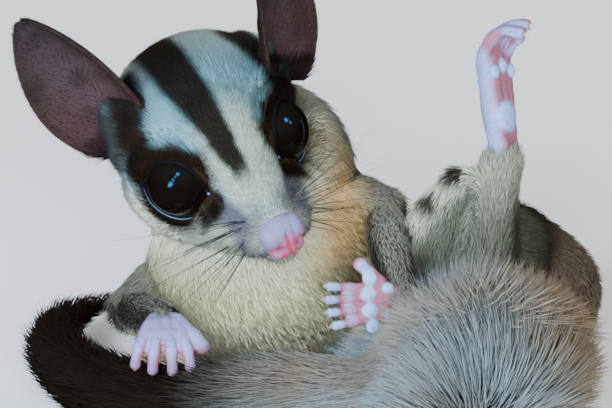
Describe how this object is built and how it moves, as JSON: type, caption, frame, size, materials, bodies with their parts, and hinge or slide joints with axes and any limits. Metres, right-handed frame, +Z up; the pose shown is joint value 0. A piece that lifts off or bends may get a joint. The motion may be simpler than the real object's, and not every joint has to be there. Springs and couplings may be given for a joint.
{
  "type": "sugar glider model",
  "caption": "Still, life-size sugar glider curled on its side, with big black eyes, cupped ears, hands at its chest, one hind foot raised and its bushy tail laid round it.",
  "frame": {"origin": "centre of the bounding box's footprint, on the floor that the animal lies on", "axes": "+Z up, +X towards the picture's right, where the rump and the tail's base are, -Y towards the viewer, whom the face, belly and palms are turned to"},
  "size_m": [0.0857, 0.0624, 0.068],
  "materials": {
    "face_fur": "short soft fur, pale with dark stripes",
    "body_fur": "soft cream and grey fur",
    "limb_fur": "short grey fur",
    "membrane_fur": "cream fur with a dark edge",
    "tail_fur": "long bushy grey fur",
    "tail_dark_fur": "long dark brown fur",
    "bare_skin": "bare pink skin with pale pads",
    "nose_skin": "moist pink skin",
    "ear_skin": "thin bare brown skin",
    "eye": "wet black"
  },
  "bodies": {
    "root": {"head": "face_fur", "nose": "nose_skin", "eye_left": "eye", "eye_right": "eye", "ear_left": "ear_skin", "ear_right": "ear_skin", "neck": "body_fur", "chest": "body_fur", "belly": "body_fur", "hips": "body_fur", "upper_arm_left": "limb_fur", "forearm_left": "limb_fur", "thigh_left": "limb_fur", "shin_left": "limb_fur", "hand_left": "bare_skin", "foot_left": "bare_skin", "membrane_left": "membrane_fur", "upper_arm_right": "limb_fur", "forearm_right": "limb_fur", "thigh_right": "limb_fur", "shin_right": "limb_fur", "hand_right": "bare_skin", "foot_right": "bare_skin", "membrane_right": "membrane_fur", "tail_root": "tail_fur", "tail_rise": "tail_fur", "tail_brush": "tail_fur", "tail_dark": "tail_dark_fur", "tail_tip": "tail_dark_fur"}
  },
  "joints": []
}
